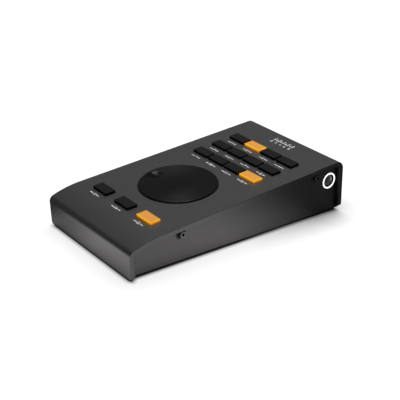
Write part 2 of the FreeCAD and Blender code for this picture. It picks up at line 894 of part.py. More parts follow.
single_nodes = {
    "top_cover": top_cover,
    "bottom_tray": bottom_tray,
    "rubber_feet": rubber_feet,
    "cover_blocks": cover_blocks,
    "side_screws": side_screws,
    "dial_disc": dial_disc,
    "dial_hub": dial_hub,
    "hub_grub_screw": grub_screw,
    "encoder_shaft": encoder_shaft,
    "encoder_body": encoder_body,
    "encoder_bush": encoder_bush,
    "encoder_nut": encoder_nut,
    "key_board": key_board,
    "key_board_pillars": key_pillars,
    "connector_board": connector_board,
    "connector_board_pillars": tray_pillars,
    "board_screws": board_screws,
    "jack_body": jack_body,
    "jack_bush": jack_bush,
    "jack_ring": jack_ring,
    "usb_shell": usb_shell,
    "usb_insulator": usb_insulator,
    "usb_contacts": usb_contacts,
    "flat_cable_headers": flat_cable_headers,
    "flat_cable": flat_cable,
    "control_chip": control_chip,
}
grouped_nodes = {
    "switch_housings": switch_housing,
    "key_lamps": key_lamp,
    "key_domes": key_dome,
}
moving_nodes = {
    "key_cap": key_cap,
    "key_stem": key_stem,
}

for name, make in single_nodes.items():
    save(name, make())
for name, make in grouped_nodes.items():
    save(name, at_each_key(make()))
for name, make in moving_nodes.items():
    for (number, _, _), piece in zip(key_places(), at_each_key(make())):
        save("%s_%02d" % (name, number), piece)
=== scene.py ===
# %% [markdown]
# # A desk remote for an audio interface
#
# This lesson dresses a finished CAD model for a product picture. The model comes in as a
# frame of named nodes in metres, on bodies that move: a case, a dial and fifteen keys. The
# CAD stays as it is. Here it gets its finishes, softer keys and a dial with a real edge,
# printed numbers, and then a floor, lights and a camera.

# %% Load the packed model
import json
import math

import bmesh
import bpy
from mathutils import Matrix, Vector


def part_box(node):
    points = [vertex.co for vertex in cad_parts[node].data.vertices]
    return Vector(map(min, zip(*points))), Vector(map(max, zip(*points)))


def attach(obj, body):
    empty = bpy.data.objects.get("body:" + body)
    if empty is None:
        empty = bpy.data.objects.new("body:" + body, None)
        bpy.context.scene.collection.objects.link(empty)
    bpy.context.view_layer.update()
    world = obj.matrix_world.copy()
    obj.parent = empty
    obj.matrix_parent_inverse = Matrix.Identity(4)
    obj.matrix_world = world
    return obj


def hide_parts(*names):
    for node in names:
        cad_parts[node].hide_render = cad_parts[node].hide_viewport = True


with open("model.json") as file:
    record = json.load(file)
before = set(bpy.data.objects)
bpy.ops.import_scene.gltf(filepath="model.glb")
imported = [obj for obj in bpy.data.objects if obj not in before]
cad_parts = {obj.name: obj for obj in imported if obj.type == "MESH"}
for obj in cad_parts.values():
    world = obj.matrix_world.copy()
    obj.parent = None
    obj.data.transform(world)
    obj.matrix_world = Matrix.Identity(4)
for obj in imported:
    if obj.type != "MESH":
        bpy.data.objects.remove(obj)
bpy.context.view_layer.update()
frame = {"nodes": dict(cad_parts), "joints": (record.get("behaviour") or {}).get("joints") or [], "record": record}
nodes = frame["nodes"]
mm = 0.001

# %% [markdown]
# ## Camera
#
# The camera stands at the front right corner and looks down on the desk. It could be placed
# by hand and by eye. Here its turn, height and roll are given as angles, as a photographer
# would say it, so each can be changed by itself, and the three axes of the camera are worked
# out from them.

# %% Camera
view_turn = math.radians(50.36)
view_height = math.radians(25.71)
view_roll = math.radians(2.902)
view_place = Vector((536.16, -444.77, 351.25)) * mm
photo_size = 400
focal_pixels = 957.41
sensor_width = 36.0
seen_from = 0.01
seen_to = 20.0

backward = Vector((math.sin(view_turn) * math.cos(view_height),
                   -math.cos(view_turn) * math.cos(view_height),
                   math.sin(view_height)))
level_right = Vector((math.cos(view_turn), math.sin(view_turn), 0.0))
level_up = backward.cross(level_right)
right = level_right * math.cos(view_roll) + level_up * math.sin(view_roll)
upward = level_up * math.cos(view_roll) - level_right * math.sin(view_roll)

camera_data = bpy.data.cameras.new("camera")
camera_data.sensor_width = sensor_width
camera_data.lens = focal_pixels / photo_size * sensor_width
camera_data.clip_start = seen_from
camera_data.clip_end = seen_to
camera = bpy.data.objects.new("camera", camera_data)
camera.matrix_world = Matrix((
    (right.x, upward.x, backward.x, view_place.x),
    (right.y, upward.y, backward.y, view_place.y),
    (right.z, upward.z, backward.z, view_place.z),
    (0.0, 0.0, 0.0, 1.0)))
bpy.context.scene.collection.objects.link(camera)
bpy.context.scene.camera = camera
print("lens", round(camera_data.lens, 2), "mm")

# %% [markdown]
# ## Shader maths as plain Python
#
# A finish is a small graph of nodes. It could be drawn in the shader editor, but then it can't
# be read or repeated here, and written out node by node it is long. So one class wraps a
# node's output. Adding or multiplying two of them adds the Math node that does it, and `node`
# adds any other kind of node. Colours go through Mix, because a Math node turns them grey.

# %% A wire between nodes
class Wire:
    """An output of a node. Maths on wires adds the nodes that work it out."""

    def __init__(self, tree, socket=None):
        self.tree = tree
        self.socket = socket

    def node(self, kind, settings=(), inputs=(), output=0):
        """Add a node: first its settings, then a value or a wire for each socket."""
        made = self.tree.nodes.new(kind)
        for name, value in dict(settings).items():
            if name == "stops":
                set_stops(made.color_ramp.elements, value)
            else:
                setattr(made, name, value)
        for key, value in dict(inputs).items():
            self.plug(made.inputs[key], value)
        return Wire(self.tree, made.outputs[output] if made.outputs else None)

    def plug(self, socket, value):
        """Link a wire to a socket, or set the socket to a plain value."""
        if isinstance(value, Wire):
            self.tree.links.new(value.socket, socket)
        else:
            socket.default_value = value

    def maths(self, operation, first, second=0.0):
        """Add a Math node, for what has no operator of its own."""
        return self.node("ShaderNodeMath", {"operation": operation}, {0: first, 1: second})

    def __add__(self, other):
        return self.maths("ADD", self, other)

    __radd__ = __add__

    def __sub__(self, other):
        return self.maths("SUBTRACT", self, other)

    def __rsub__(self, other):
        return self.maths("SUBTRACT", other, self)

    def __mul__(self, other):
        return self.maths("MULTIPLY", self, other)

    __rmul__ = __mul__

    def __gt__(self, other):
        return self.maths("GREATER_THAN", self, other)

    def __lt__(self, other):
        return self.maths("LESS_THAN", self, other)

    def between(self, low, high):
        """0 below low, 1 above high, and an even slope from one to the other."""
        return self.node("ShaderNodeMapRange", {"clamp": True},
                         {"Value": self, "From Min": low, "From Max": high})

    def swing(self, width):
        """A noise from 0 to 1 as a swing of that width, half below 0 and half above."""
        return (self - 0.5) * width

    def mix(self, first, second):
        """The first colour where this wire is 0 and the second where it is 1."""
        return self.node("ShaderNodeMix", {"data_type": "RGBA"},
                         {0: self, 6: rgba(first), 7: rgba(second)}, output=2)

    def vary(self, colour, share):
        """The colour, darker by a share where this wire is 0 and lighter where it is 1."""
        return self.mix(tint(colour, 1.0 - share), tint(colour, 1.0 + share))

    def measure_out(self, shader):
        """That much of a shader: all of it where this wire is 1, none where it is 0."""
        return self.node("ShaderNodeMixShader", {}, {0: self, 2: shader})

    def place(self, kind="Object"):
        """The point being shaded, in the piece's own metres, or another coordinate of it."""
        return self.node("ShaderNodeTexCoord", output=kind)

    def axes(self, place=None):
        """The three parts of a place, as three wires."""
        split = self.node("ShaderNodeSeparateXYZ", {}, {0: place or self.place()})
        return [Wire(self.tree, socket) for socket in split.socket.node.outputs]

    def shut_in(self, reach, samples):
        """How much of the sky within reach is blocked, from 0 in the open to 1."""
        return 1.0 - self.node("ShaderNodeAmbientOcclusion", {"samples": samples},
                               {"Distance": reach}, output="AO")


print("a wire can", ", ".join(name for name in vars(Wire) if name[0] != "_"))

# %% Colours as a socket wants them
def set_stops(elements, stops):
    """Give a colour ramp its stops, each a place and a colour or a grey."""
    while len(elements) < len(stops):
        elements.new(1.0)
    for element, (place, colour) in zip(elements, stops):
        element.position = place
        element.color = rgba(colour)


def rgba(colour):
    """Four numbers from three or from a single grey. A wire passes as it is."""
    if isinstance(colour, Wire):
        return colour
    if isinstance(colour, float):
        return (colour, colour, colour, 1.0)
    return (*colour[:3], 1.0)


def tint(colour, share):
    """A colour made darker or lighter by one share."""
    return [part * share for part in colour]


print("a mid grey is", rgba(0.5))

# %% [markdown]
# ## Finishes
#
# Every finish is a Principled shader that starts from plain numbers. What is the same all
# over stays a number on the shader's own socket. What changes over the surface is a wire into
# its colour, its roughness or its normal, because those are what an export can bake.

# %% A finish with one shader
slot_of = {part["node"]: part["material_slot"] for part in frame["record"]["subparts"]}
finishes = {}


class Finish(Wire):
    """A material with one Principled shader, kept in finishes under its slot's name.

    Any other socket is given by its name, with a low line for each space.
    """

    def __init__(self, name, colour, roughness, metallic=0.0, **sockets):
        finishes[name] = bpy.data.materials.new(name)
        finishes[name].use_nodes = True
        super().__init__(finishes[name].node_tree)
        self.shader = self.tree.nodes["Principled BSDF"]
        self.set("Base Color", rgba(colour))
        self.set("Roughness", roughness)
        self.set("Metallic", metallic)
        for socket, value in sockets.items():
            self.set(socket.replace("_", " "), value)

    def set(self, socket, value):
        """Give one of the shader's sockets a plain value or a wire."""
        self.plug(self.shader.inputs[socket], value)

    def noise(self, size, detail=2.0, place=None, stretch=(1.0, 1.0, 1.0)):
        """Smooth noise whose blobs are about that many metres across."""
        spread = self.node("ShaderNodeVectorMath", {"operation": "MULTIPLY"},
                           {0: place or self.place(), 1: stretch})
        return self.node("ShaderNodeTexNoise", {},
                         {"Vector": spread, "Scale": 1.0 / size, "Detail": detail})

    def relief(self, height, depth):
        """Bump from a wire of heights from 0 to 1, that many metres deep."""
        self.set("Normal", self.node("ShaderNodeBump", {}, {"Height": height, "Distance": depth}))


print(len(set(slot_of.values())), "finishes are needed")

# %% [markdown]
# ## Paint
#
# The cover and the tray are bent sheet with a satin powder coat: tiny round pimples and a faint
# cloudiness. The dark lines in the narrow corners where the sheets meet are painted shade.
# Photographs of paint could be wrapped round them. Noise is used instead, measured on the piece
# in metres, so the grain has its real size everywhere and no seams. The Ambient Occlusion node
# finds the corners for that painted shade. Faces that look up are spared, because the light
# from above reaches into theirs.

# %% Paint on the bent sheet and the tray
noise_range = (0.3, 0.7)
cloud_size = 40 * mm
cloud_share = 0.6
paint_vary = 0.05
pimple_swing = 0.1
pimple_relief = 0.006 * mm
corner_shade_reach = 3 * mm
corner_shade_samples = 12
corner_shade_range = (0.03, 0.18)
corner_shade = 0.1
corner_dull = 0.6
upward_range = (0.5, 0.8)


def powder_coat(name, colour, roughness, pimple, specular):
    """Satin powder coat: tiny round pimples, a faint cloudiness and painted shade in inner corners."""
    coat = Finish(name, colour, roughness, Specular_IOR_Level=specular)
    pimples = coat.noise(pimple, detail=3.0)
    clouds = coat.noise(cloud_size)
    cloudy = clouds.between(*noise_range) * cloud_share
    cloudy = cloudy + pimples.between(*noise_range) * (1.0 - cloud_share)
    _, _, up_part = coat.axes(coat.place("Normal"))
    # Painted shade: the colour turns dark in the narrow inner corners that Ambient Occlusion finds, but not on
    # faces that look up.
    corner = coat.shut_in(corner_shade_reach, corner_shade_samples).between(*corner_shade_range)
    corner = corner * (1.0 - up_part.between(*upward_range))
    coat.set("Base Color", corner.mix(cloudy.vary(colour, paint_vary), tint(colour, corner_shade)))
    coat.set("Roughness", corner * corner_dull + pimples.swing(pimple_swing) + roughness)
    coat.relief(pimples, pimple_relief)


cover_colour = (0.0583, 0.0583, 0.0585)
tray_colour = (0.056, 0.055, 0.0538)
powder_coat("cover_paint", cover_colour, 0.34, 0.35 * mm, 1.0)
powder_coat("tray_paint", tray_colour, 0.36, 0.3 * mm, 0.9)
print(list(finishes))

# %% [markdown]
# ## Plastic, rubber and metal
#
# Moulded parts have a fine even grain and a slow drift of their colour. Turned and drawn metal
# has fine lines round or along the part. A single material with many sliders could serve them
# all, but one function for each way of making them keeps every finish to one line. The lines
# in the metal come from the same noise, drawn out long in one direction.

# %% Plastic and rubber
drift_size = 9 * mm
drift_vary = 0.07
drift_swing = 0.06
grain_swing = 0.12


def moulded(name, colour, roughness, grain=0.15 * mm, depth=0.003 * mm, **sockets):
    """Plastic or rubber out of a mould, with a fine even grain."""
    part = Finish(name, colour, roughness, **sockets)
    texture = part.noise(grain)
    drift = part.noise(drift_size, detail=1.0)
    part.set("Base Color", drift.vary(colour, drift_vary))
    part.set("Roughness", texture.swing(grain_swing) + drift.swing(drift_swing) + roughness)
    part.relief(texture, depth)


moulded("key_plastic", (0.0145, 0.0145, 0.0145), 0.5, Specular_IOR_Level=0.15)
moulded("black_plastic", (0.015, 0.015, 0.015), 0.5)
moulded("white_plastic", (0.75, 0.75, 0.73), 0.45)
# The white ring's emission is painted light: it glows by itself, so it stays pure white on the shaded side.
moulded("ring_white", (0.86, 0.86, 0.86), 0.35,
        Emission_Color=(1.0, 1.0, 1.0, 1.0), Emission_Strength=1.25)
moulded("foot_rubber", (0.02, 0.02, 0.02), 0.85, grain=0.4 * mm, depth=0.02 * mm)
moulded("dome_silicone", (0.35, 0.35, 0.36), 0.5, Subsurface_Weight=0.2)
moulded("lamp_lens", (0.8, 0.75, 0.6), 0.15, Transmission_Weight=0.6)
moulded("cable_grey", (0.4, 0.4, 0.4), 0.55)
print(len(finishes), "finishes so far")

# %% Metal
line_size = 0.12 * mm
line_swing = 0.16
line_relief = 0.002 * mm
stain_size = 6 * mm
stain_shade = 0.86
stain_swing = 0.08
along_x = (0.04, 1.0, 1.0)
upright = (1.0, 1.0, 0.04)


def worked_metal(name, colour, roughness, stretch, metallic=1.0):
    """Metal with the fine lines that a tool or a rolling mill leaves along one direction."""
    part = Finish(name, colour, roughness, metallic)
    lines = part.noise(line_size, stretch=stretch)
    stain = part.noise(stain_size)
    part.set("Base Color", stain.mix(tint(colour, stain_shade), colour))
    part.set("Roughness", lines.swing(line_swing) + stain.swing(stain_swing) + roughness)
    part.relief(lines, line_relief)


worked_metal("black_screw", (0.16, 0.16, 0.16), 0.4, along_x, 0.85)
worked_metal("block_aluminium", (0.6, 0.6, 0.61), 0.4, along_x)
worked_metal("hub_aluminium", (0.62, 0.62, 0.63), 0.35, upright)
worked_metal("plain_steel", (0.5, 0.5, 0.5), 0.38, upright)
worked_metal("bright_metal", (0.85, 0.85, 0.85), 0.42, along_x, 0.7)
worked_metal("pillar_brass", (0.72, 0.52, 0.22), 0.35, upright)
worked_metal("contact_gold", (0.85, 0.62, 0.25), 0.25, along_x)
print(len(finishes), "finishes so far")

# %% [markdown]
# ## Circuit board
#
# A board is green lacquer over copper. Where copper lies under it the green is lighter. Real
# tracks could be drawn one by one, but these boards lie inside the case, so bands from two
# crossing waves are enough to stand for them.

# %% Circuit board
lacquer = (0.01, 0.07, 0.03)
lacquer_on_copper = (0.02, 0.15, 0.06)
lacquer_roughness = 0.3
lacquer_swing = 0.15
track_pitch = 2.2 * mm
track_length = 9.0 * mm
track_wave_over = 0.35
track_break_under = -0.6
track_waver = 4.0
waver_size = 12 * mm
track_relief = 0.03 * mm
lacquer_blots = 3 * mm


def circuit_board():
    """Green lacquer, with bands of copper under it."""
    board = Finish("board_laminate", lacquer, lacquer_roughness)
    x, y, _ = board.axes()
    waver = board.noise(waver_size, detail=0.0) * track_waver
    rows = board.maths("SINE", y * (2.0 * math.pi / track_pitch) + waver)
    columns = board.maths("SINE", x * (2.0 * math.pi / track_length) + waver)
    copper = (rows > track_wave_over) * (columns > track_break_under)
    board.set("Base Color", copper.mix(lacquer, lacquer_on_copper))
    board.set("Roughness", board.noise(lacquer_blots).swing(lacquer_swing) + lacquer_roughness)
    board.relief(copper, track_relief)


circuit_board()
print("board drawn from two waves")

# %% [markdown]
# ## The deck's own axes
#
# The deck leans forward by five degrees. Each piece on it could be turned by that angle, one
# by one. But the dial turns about a line square to the deck, so its joint already gives the
# deck's axes: right, to the rear and up off the deck, from the dial's centre. Pieces that sit
# on the deck are drawn in those axes and then laid in place.

# %% Axes of the deck
dial_joint = next(joint for joint in frame["joints"] if joint["name"] == "dial_turn")
dial_centre = Vector(dial_joint["pos_m"])
deck_up = Vector(dial_joint["axis"]).normalized()
deck_right = Vector((1.0, 0.0, 0.0))
deck_rear = deck_up.cross(deck_right)
deck_turn = Matrix((deck_right, deck_rear, deck_up)).transposed().to_4x4()
deck = Matrix.Translation(dial_centre) @ deck_turn
to_deck = deck.inverted()


def corners(points):
    """The lowest and the highest corner of a box round some points."""
    return (Vector([min(point[axis] for point in points) for axis in range(3)]),
            Vector([max(point[axis] for point in points) for axis in range(3)]))


def deck_box(node):
    """Lowest and highest corner of a CAD node, along the deck's axes."""
    return corners([to_deck @ vertex.co for vertex in nodes[node].data.vertices])


print("deck leans", round(math.degrees(deck_up.angle(Vector((0, 0, 1)))), 2), "degrees")

# %% [markdown]
# ## Building by loops
#
# Keys, feet and turned parts are all stacks of closed loops: a loop is drawn at each height
# and the next one is joined to it. Cylinders and bevel modifiers could be combined for the
# same shapes, but a stack of loops has clean faces at every step and takes any profile. One
# helper joins the loops, closes the two ends, and gives the mesh soft shading that stays
# crisp on the flat faces.

# %% Loops into a mesh
weld_distance = 0.001 * mm
crease_angle = math.radians(35.0)


def add_loops(form, loops, closed_ends=True):
    """Join each loop of points to the next, in a mesh that is being made."""
    rings = [[form.verts.new(point) for point in loop] for loop in loops]
    for lower, upper in zip(rings, rings[1:]):
        for index, corner in enumerate(lower):
            following = (index + 1) % len(lower)
            form.faces.new((corner, lower[following], upper[following], upper[index]))
    if closed_ends:
        form.faces.new(reversed(rings[0]))
        form.faces.new(rings[-1])


def piece_from_loops(name, loops, slot, body, place=None, closed_ends=True):
    """Make a piece from loops of points, riding on a body. Open ends are welded together."""
    form = bmesh.new()
    add_loops(form, loops, closed_ends)
    if not closed_ends:
        bmesh.ops.remove_doubles(form, verts=form.verts, dist=weld_distance)
    return add_piece(name, form, slot, body, place)


def object_from(name, form, slot, place=None):
    """Turn a bmesh into an object with its finish."""
    mesh = bpy.data.meshes.new(name)
    form.to_mesh(mesh)
    form.free()
    mesh.materials.append(finishes[slot])
    piece = bpy.data.objects.new(name, mesh)
    piece.matrix_world = place or Matrix.Identity(4)
    bpy.context.scene.collection.objects.link(piece)
    return piece


def add_piece(name, form, slot, body, place=None):
    """Turn a bmesh into an object with soft shading, riding on its body."""
    bmesh.ops.recalc_face_normals(form, faces=form.faces)
    piece = object_from(name, form, slot, place)
    piece.data.shade_smooth()
    piece.data.set_sharp_from_angle(angle=crease_angle)
    weigh = piece.modifiers.new("even_normals", "WEIGHTED_NORMAL")
    weigh.keep_sharp = True
    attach(piece, body)
    return piece


def rounded_loop(width, depth, corner, height, steps=6):
    """A rounded rectangle round the origin at one height."""
    points = []
    for quarter, (side_x, side_y) in enumerate(((1, 1), (-1, 1), (-1, -1), (1, -1))):
        centre = Vector((side_x * (width / 2 - corner), side_y * (depth / 2 - corner), height))
        for step in range(steps + 1):
            angle = math.radians(90.0 * (quarter + step / steps))
            points.append(centre + Vector((math.cos(angle), math.sin(angle), 0.0)) * corner)
    return points


def quarter_turn(steps):
    """How far inward and how far up a rounded edge has gone, at each step from 0 to 1."""
    angles = [math.radians(90.0 * step / steps) for step in range(steps + 1)]
    return [(1 - math.cos(angle), math.sin(angle)) for angle in angles]


print("a loop has", len(rounded_loop(2.0, 1.0, 0.1, 0.0)), "points")

# %% [markdown]
# ## Lit keys
#
# Three keys glow amber, lit from below through the plastic. The flat top is thick and looks
# milky, with a slightly darker line round it. The edge is thin, so it is brightest there, and
# the sides fall to deep orange at the deck. A lamp under see-through plastic could do this,
# but it is slow to render and full of noise. So the glow is painted on: the height above the
# deck and the distance from the cap's sides choose the colour.

# %% Glow of a lit key
key_rise = deck_box("key_cap_02")[1].z
amber = (0.47, 0.225, 0.042)
top_glow = (0.33, 0.125, 0.017)
edge_glow = (0.8, 0.42, 0.006)
side_glow = ((0.0, (0.28, 0.085, 0.003)), (0.45, (0.6, 0.21, 0.004)),
             (0.8, (0.74, 0.33, 0.006)), (0.92, edge_glow))
milky_shift = 0.2 * mm
milky_from = 0.35 * mm
line_from = 0.6 * mm
line_to = 1.0 * mm
line_shade = 0.75
lit_roughness = 0.4
grain_size = 0.5 * mm
grain_vary = 0.065
grain_lift = 0.01 * mm
grain_relief = 0.004 * mm
top_depth = 0.06 * mm


def lit_key(width, depth):
    """Amber plastic over a lamp, for a cap of that size drawn round the origin."""
    key = Finish("key_lit_plastic", amber, lit_roughness,
                 Emission_Strength=1.0, Specular_IOR_Level=0.3)
    x, y, height = key.axes()
    grain = key.noise(grain_size)
    side = key.node("ShaderNodeValToRGB", {"stops": side_glow},
                    {"Fac": height.between(0.0, key_rise)})
    from_side = key.maths("MINIMUM", width / 2 - key.maths("ABSOLUTE", x + milky_shift),
                          depth / 2 - key.maths("ABSOLUTE", y - milky_shift))
    on_line = (from_side > line_from) * (from_side < line_to)
    milky = on_line.mix(top_glow, tint(top_glow, line_shade))
    roof = (from_side > milky_from).mix(edge_glow, milky)
    flat = (height + grain * grain_lift).between(key_rise - top_depth, key_rise)
    key.set("Base Color", grain.vary(amber, grain_vary))
    key.set("Emission Color", flat.mix(side, roof))
    key.set("Roughness", grain.swing(grain_swing) + lit_roughness)
    key.relief(grain, grain_relief)


print("keys stand", round(key_rise / mm, 2), "mm above the deck")

# %% [markdown]
# ## Key caps
#
# A cap is a thin box with a retaining flange that stays under the deck. The CAD cap has plain
# bevels; a real one has a rounded top edge, which is what catches the light. A bevel modifier
# on the CAD mesh would trip over its triangles, so the cap is drawn anew from loops. It is
# drawn round the origin, so the glow can read its height, and then laid at its key.

# %% Key caps
flange_overhang = 0.7 * mm
flange_thickness = 0.8 * mm
cap_corner = 0.4 * mm
cap_edge = 0.22 * mm
cap_wall = 1.2 * mm
cap_roof = 1.4 * mm
edge_steps = 5


def cap_size(node):
    """Width and depth of a cap without its flange."""
    low, high = deck_box(node)
    return [high[axis] - low[axis] - 2 * flange_overhang for axis in range(2)]


def key_cap(number):
    """Make one cap, and return it with the middle of its key on the deck."""
    node = "key_cap_%02d" % number
    low, high = deck_box(node)
    width, depth = cap_size(node)
    flange = (high.x - low.x, high.y - low.y)
    inner = (width - 2 * cap_wall, depth - 2 * cap_wall)
    top = high.z
    flange_top = low.z + flange_thickness
    loops = [rounded_loop(*inner, cap_corner, top - cap_roof),
             rounded_loop(*inner, cap_corner, low.z),
             rounded_loop(*flange, cap_corner, low.z),
             rounded_loop(*flange, cap_corner, flange_top),
             rounded_loop(width, depth, cap_corner, flange_top)]
    for inward, up in quarter_turn(edge_steps):
        inset = cap_edge * inward
        loops.append(rounded_loop(width - 2 * inset, depth - 2 * inset, cap_corner - inset,
                                  top - cap_edge + cap_edge * up))
    middle = (low + high) / 2
    place = deck @ Matrix.Translation((middle.x, middle.y, 0.0))
    cap = piece_from_loops("cap_%02d" % number, loops, slot_of[node], "key_%02d" % number, place)
    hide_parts(node)
    return cap, middle


lit_key(*cap_size("key_cap_02"))
key_numbers = range(1, 16)
caps = {number: key_cap(number) for number in key_numbers}
print(len(caps), "caps")

# %% [markdown]
# ## Turned pieces
#
# The dial, the screws, the jack's ring and bush and the feet are all turned shapes: a profile
# of radii and heights swept round an axis. A screw modifier could sweep it, but the same loops
# as before make them too, drawn as circles. Only the count of points has to stay the same from
# one loop to the next, so a loop may also be a hexagon or a knurled circle, and that gives a
# screw its grip and its socket.

# %% Round, knurled and six-sided loops
turn_points = 144


def turned_loop(reach, height, points):
    """A loop round the origin at one height, by how far it reaches at each angle."""
    angles = [2.0 * math.pi * point / points for point in range(points)]
    return [Vector((reach(angle) * math.cos(angle), reach(angle) * math.sin(angle), height))
            for angle in angles]


def round_loop(radius, height, knurls=0, knurl_depth=0.0, points=turn_points):
    """A circle, with grooves along it where asked."""
    def reach(angle):
        return radius - knurl_depth * (0.5 + 0.5 * math.cos(knurls * angle))
    return turned_loop(reach, height, points)


def six_sided_loop(across, height):
    """A hexagon, by its width across the flats."""
    def reach(angle):
        off_flat = (angle + math.pi / 6) % (math.pi / 3) - math.pi / 6
        return across / 2 / math.cos(off_flat)
    return turned_loop(reach, height, turn_points)


def rounded_edge(radius, top, edge, fall=None, steps=5, points=turn_points):
    """Loops from an upright wall to a level top, rounded by edge inward and fall downward."""
    fall = fall or edge
    return [round_loop(radius - edge * inward, top - fall + fall * up, points=points)
            for inward, up in quarter_turn(steps)]


def facing(direction, origin):
    """A place whose own Z axis points along a direction."""
    turn = Vector(direction).to_track_quat("Z", "Y").to_matrix().to_4x4()
    return Matrix.Translation(origin) @ turn


def laid(loops, place):
    """The same loops, moved to a place."""
    return [[place @ point for point in loop] for loop in loops]


print("a turned loop has", len(round_loop(1.0, 0.0)), "points")

# %% [markdown]
# ## Coat of the dial
#
# The dial is turned metal with a thin black coat. The fine marks of the turning spread the
# light across the rings, so the highlight is a fan from the middle. Real grooves would need
# thousands of rings, so the shader's own Anisotropic socket does it, and a noise that depends
# on the radius alone draws the rings in the gloss. The rim and the finger dish are polished
# smoother than the rest, and the dish gets painted shade: its colour is made darker.

# %% Coat of the dial
dial_black = (0.0074, 0.0074, 0.0078)
dish_place = Vector((-22.0, -6.15)) * mm
dish_radius = 7.5 * mm
dish_border = (0.88 * dish_radius, 1.04 * dish_radius)
dish_shade = 0.5
ring_size = 0.25 * mm
ring_swing = 0.06
rim_border = (1.1 * mm, 0.9 * mm)
crisp_drop = 0.13
calm_from = 0.8
calm_to = 0.2


def turned_coat(name, colour, rim_roughness, middle_roughness, rim_radius):
    """Black coat over turned metal: rings in the gloss, and calmer toward the middle."""
    coat = Finish(name, colour, rim_roughness, Anisotropic=0.8, Anisotropic_Rotation=0.25,
                  Specular_IOR_Level=0.65)
    x, y, _ = coat.axes()
    radius = coat.maths("SQRT", x * x + y * y)
    line = coat.node("ShaderNodeCombineXYZ", {}, {0: radius})
    rings = coat.noise(ring_size, place=line)
    drift = coat.noise(drift_size, detail=1.0)
    calm = 1.0 - radius.between(calm_to * rim_radius, calm_from * rim_radius)
    from_dish = coat.node("ShaderNodeVectorMath", {"operation": "DISTANCE"},
                          {0: coat.place(), 1: (*dish_place, 0.0)}, output="Value")
    in_dish = 1.0 - from_dish.between(*dish_border)
    on_rim = radius.between(*(rim_radius - inset for inset in rim_border))
    crisp = coat.maths("MAXIMUM", on_rim, in_dish)
    # Painted shade: the finger dish gets a darker colour.
    coat.set("Base Color", in_dish.mix(drift.vary(colour, drift_vary), tint(colour, dish_shade)))
    coat.set("Roughness", calm * (middle_roughness - rim_roughness) + rings.swing(ring_swing)
             + rim_roughness - crisp * crisp_drop)
    coat.relief(rings, line_relief)


dial_low, dial_high = deck_box("dial_disc")
dial_radius = (dial_high.x - dial_low.x) / 2
turned_coat("dial_coat", dial_black, 0.37, 0.8, dial_radius)
print("dial is", round(2 * dial_radius / mm, 1), "mm across")

# %% [markdown]
# ## Dial
#
# The dial is a thick turned disc in a pocket of the deck. Its top is level, with a soft dish
# for a fingertip near the rim. The dish could be cut by a boolean, which leaves a hard lip and
# long thin faces. Here the top is made of rings of points, and the dish is a height worked out
# at each of them: the lower of the flat top and a ball's surface, blended where they meet.

# %% Dial with its finger dish
dial_edge = 1.1 * mm
dial_edge_fall = 0.5 * mm
dial_edge_steps = 8
dial_ring_step = 0.5 * mm
dial_middle = 0.3 * mm
dial_points = 240
dish_depth = 1.4 * mm
dish_lip = 0.4 * mm
hub_hole = 6.52 * mm
hub_roof = 1.4 * mm


def dish_height(point, top):
    """The height of the dial's top at a point, with the dish hollowed out."""
    ball = (dish_radius ** 2 + dish_depth ** 2) / (2 * dish_depth)
    away = (Vector((point.x, point.y)) - dish_place).length
    if away > 2 * dish_radius:
        return top
    dish = top - dish_depth + ball - math.sqrt(ball ** 2 - away ** 2)
    blend = max(dish_lip - abs(dish - top), 0.0) / dish_lip
    return min(dish, top) - blend ** 2 * dish_lip / 4


def dial_loops():
    """From the hub's hole, out over the foot and the rim, and in over the dished top."""
    top = dial_high.z
    flat = dial_radius - dial_edge
    loops = [round_loop(hub_hole, top - hub_roof, points=dial_points),
             round_loop(hub_hole, dial_low.z, points=dial_points),
             round_loop(dial_radius, dial_low.z, points=dial_points)]
    loops += rounded_edge(dial_radius, top, dial_edge, dial_edge_fall, dial_edge_steps,
                          dial_points)
    rings = int((flat - dial_middle) / dial_ring_step)
    for ring in range(1, rings + 1):
        loop = round_loop(flat + (dial_middle - flat) * ring / rings, top, points=dial_points)
        for point in loop:
            point.z = dish_height(point, top)
        loops.append(loop)
    return loops


dial = piece_from_loops("dial", dial_loops(), slot_of["dial_disc"], "dial", deck)
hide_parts("dial_disc")
print("dial", len(dial.data.vertices), "points")

# %% [markdown]
# ## Side screws
#
# Four black socket screws hold the tray to the cover. Each head is a knurled cylinder with a
# rounded rim and a six-sided socket. The knurls could be bump in the finish, but the outline
# of so small a head is most of what shows, so they are real. The places come from the CAD
# screws, so the new ones sit where the old ones did.

# %% Side screws
head_radius = 2.75 * mm
head_height = 3.0 * mm
head_knurls = 36
knurl_depth = 0.16 * mm
head_edge = 0.3 * mm
socket_across = 2.5 * mm
socket_depth = 1.6 * mm
shank_radius = 1.5 * mm


def screw_loops(length):
    """A socket screw with the middle of its head's outer face at the origin."""
    seat = -head_height
    loops = [round_loop(shank_radius, seat - length),
             round_loop(shank_radius, seat),
             round_loop(head_radius - head_edge, seat),
             round_loop(head_radius, seat + head_edge, head_knurls, knurl_depth),
             round_loop(head_radius, -2 * head_edge, head_knurls, knurl_depth)]
    loops += rounded_edge(head_radius - knurl_depth, 0.0, head_edge)
    loops += [six_sided_loop(socket_across + head_edge / 2, 0.0),
              six_sided_loop(socket_across, -head_edge / 2),
              six_sided_loop(socket_across, -socket_depth)]
    return loops


def screw_ends():
    """Side, middle of the head's face and length under the head, of each CAD screw."""
    points = [to_deck @ vertex.co for vertex in nodes["side_screws"].data.vertices]
    middle = sum(point.y for point in points) / len(points)
    for side in (-1, 1):
        for half in (-1, 1):
            low, high = corners([point for point in points
                                 if point.x * side > 0 and (point.y - middle) * half > 0])
            face = high.x if side > 0 else low.x
            yield (side, Vector((face, (low.y + high.y) / 2, (low.z + high.z) / 2)),
                   high.x - low.x - head_height)


screws = bmesh.new()
for side, centre, length in screw_ends():
    add_loops(screws, laid(screw_loops(length), facing((side, 0.0, 0.0), centre)))
screw_set = add_piece("side_screw_set", screws, slot_of["side_screws"], "case", deck)
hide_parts("side_screws")
print("screws", len(screw_set.data.vertices), "points")
